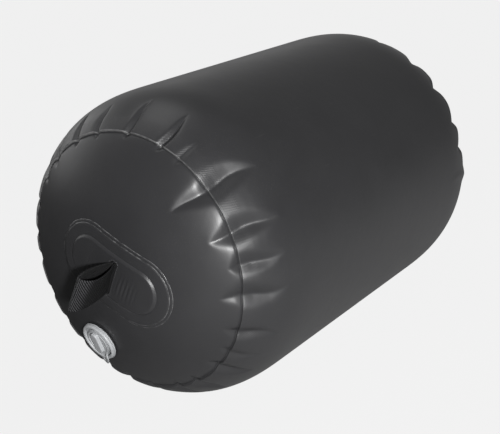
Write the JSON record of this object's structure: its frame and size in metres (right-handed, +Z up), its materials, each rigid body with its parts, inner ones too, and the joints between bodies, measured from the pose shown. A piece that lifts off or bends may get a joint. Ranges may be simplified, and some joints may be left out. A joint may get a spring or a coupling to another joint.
{
  "type": "inflatable boat fender",
  "caption": "Black inflatable boat fender: a cylinder with gathered, rounded ends, a webbing grab loop on a stadium-shaped patch and a capped inflation valve beside it.",
  "frame": {"origin": "centre of the small flat spot that the fender rests on, under the middle of its length", "axes": "+X along the fender, from the end with the handle and valve to the plain end; +Z up"},
  "size_m": [0.8513, 0.4572, 0.4559],
  "materials": {
    "coated_cloth": "satin PVC-coated cloth",
    "webbing": "matte woven webbing",
    "seal_rubber": "matte",
    "valve_plastic": "satin moulded plastic",
    "spring_steel": "drawn wire"
  },
  "bodies": {
    "fender": {"air_chamber": "coated_cloth", "handle_base_patch": "coated_cloth", "handle_cover_patch": "coated_cloth", "handle_strap": "webbing", "valve_gasket": "seal_rubber", "valve_body": "valve_plastic", "valve_back_nut": "valve_plastic", "cap_tether": "valve_plastic", "poppet_spring": "spring_steel"},
    "cap": {"valve_cap": "valve_plastic", "cap_seal": "seal_rubber"},
    "poppet": {"valve_poppet": "valve_plastic", "poppet_seal": "seal_rubber"}
  },
  "joints": [
    {"name": "cap_turn", "type": "hinge", "parent": "fender", "child": "cap", "pos_m": [-0.36848, 0.03614, 0.1106], "axis": [-0.9436, 0.0979, -0.3163], "range_deg": [0, 90]},
    {"name": "poppet_push", "type": "slide", "parent": "fender", "child": "poppet", "axis": [0.9436, -0.0979, 0.3163], "range_m": [0, 0.004], "stiffness_N_per_m": 800, "springref_m": -0.004, "deforming": ["poppet_spring"]}
  ]
}
